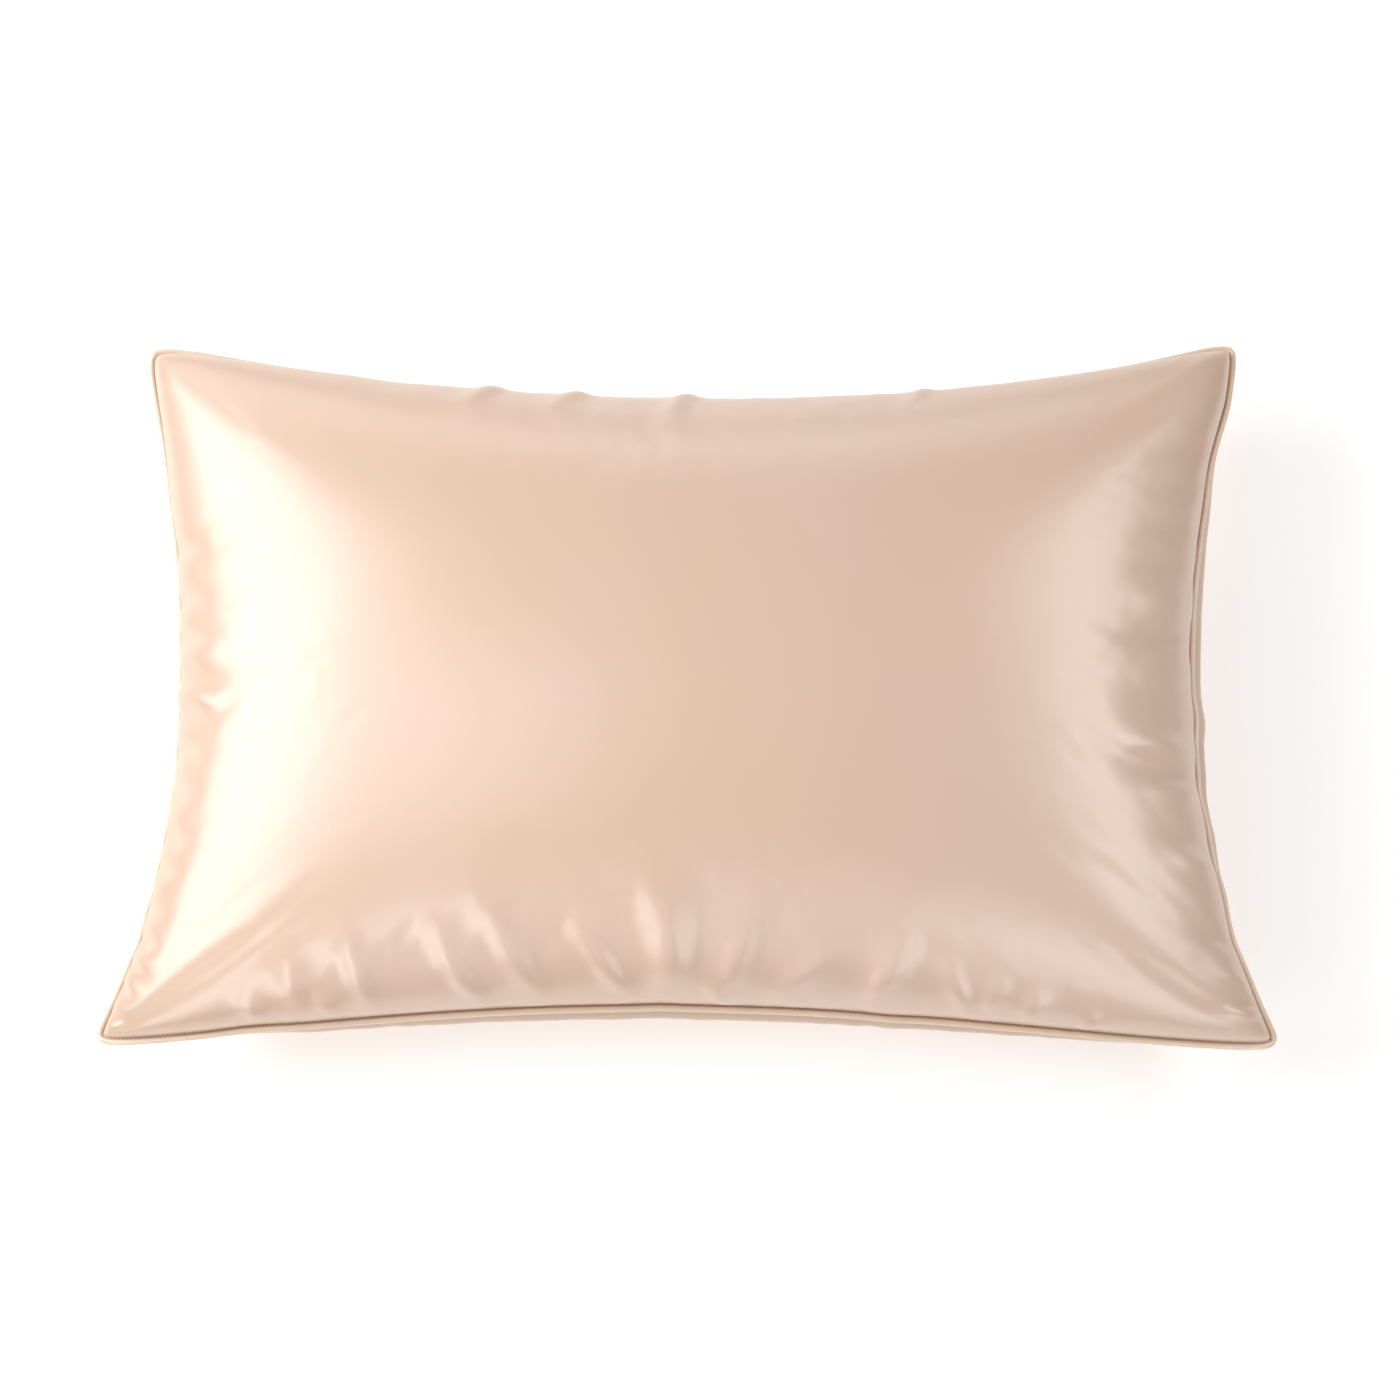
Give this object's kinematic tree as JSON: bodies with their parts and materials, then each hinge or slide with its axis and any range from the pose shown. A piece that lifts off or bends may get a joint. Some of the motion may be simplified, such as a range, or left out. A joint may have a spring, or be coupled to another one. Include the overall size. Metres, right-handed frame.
{
  "type": "filled pillowcase",
  "caption": "Plump pillowcase of smooth satin, filled, with drawn-in sides, pinched corners and a piped edge, lying on its back.",
  "frame": {"origin": "under the middle of the case, on the flat spot of the rear panel on which it rests", "axes": "+X along the long side, +Y towards the head edge, +Z out of the front panel"},
  "size_m": [0.735, 0.4708, 0.1655],
  "materials": {
    "satin": "glossy champagne satin weave with a soft broad highlight",
    "piping_satin": "champagne satin strip wrapped round a thin cord"
  },
  "bodies": {
    "root": {"case": "satin", "piping": "piping_satin"}
  },
  "joints": []
}
